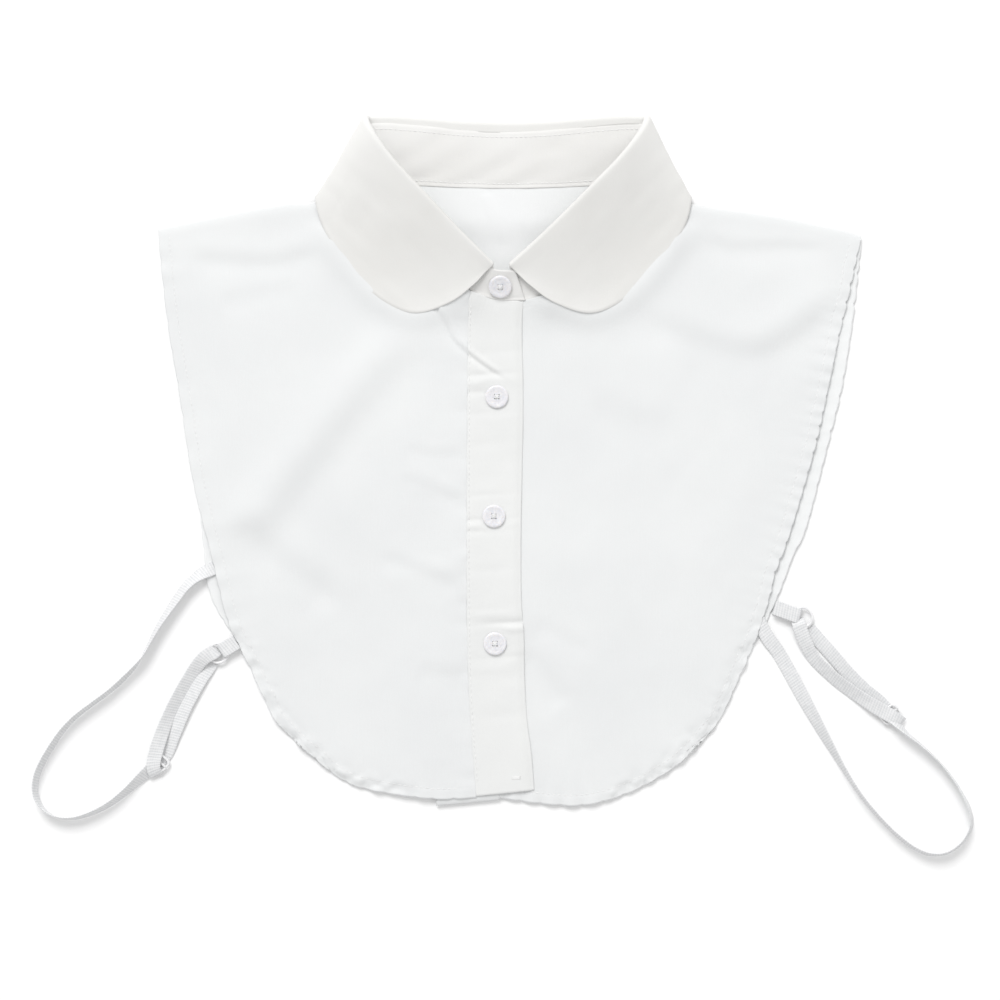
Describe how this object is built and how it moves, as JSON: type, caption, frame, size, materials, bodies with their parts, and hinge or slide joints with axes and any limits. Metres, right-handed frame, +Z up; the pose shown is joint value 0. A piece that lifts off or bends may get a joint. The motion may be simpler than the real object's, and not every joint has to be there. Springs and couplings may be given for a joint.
{
  "type": "detachable collar",
  "caption": "Round-cornered shirt collar on a short front and back bib, buttoned at the front, with adjustable elastic side straps, laid flat.",
  "frame": {"origin": "bottom centre of the bounding box of the cloth, on the surface the collar lies on, without the straps and what is on them", "axes": "+X to the viewer's right across the front, +Y from the hem towards the neck, +Z up out of the surface, towards the viewer"},
  "size_m": [0.5116, 0.4017, 0.0201],
  "materials": {
    "panel_cotton": "bright white plain-weave cotton poplin, matt",
    "collar_cotton": "interfaced white cotton poplin, smooth and matt",
    "button_plastic": "translucent pearl-white resin, polished",
    "strap_elastic": "ribbed white braided elastic",
    "hardware_plastic": "translucent white coated plastic"
  },
  "bodies": {
    "root": {"back_panel": "panel_cotton", "front_panel_left": "panel_cotton", "front_panel_right": "panel_cotton", "placket": "panel_cotton", "button_stand": "panel_cotton", "collar_stand": "collar_cotton", "collar_leaf": "collar_cotton", "button_collar": "button_plastic", "button_upper": "button_plastic", "button_middle": "button_plastic", "button_lower": "button_plastic", "strap_left": "strap_elastic", "strap_left_return": "strap_elastic", "strap_right": "strap_elastic", "strap_right_return": "strap_elastic", "strap_tab_left": "strap_elastic", "strap_tab_right": "strap_elastic", "ring_left": "hardware_plastic", "ring_right": "hardware_plastic", "slider_left": "hardware_plastic", "slider_right": "hardware_plastic"}
  },
  "joints": []
}
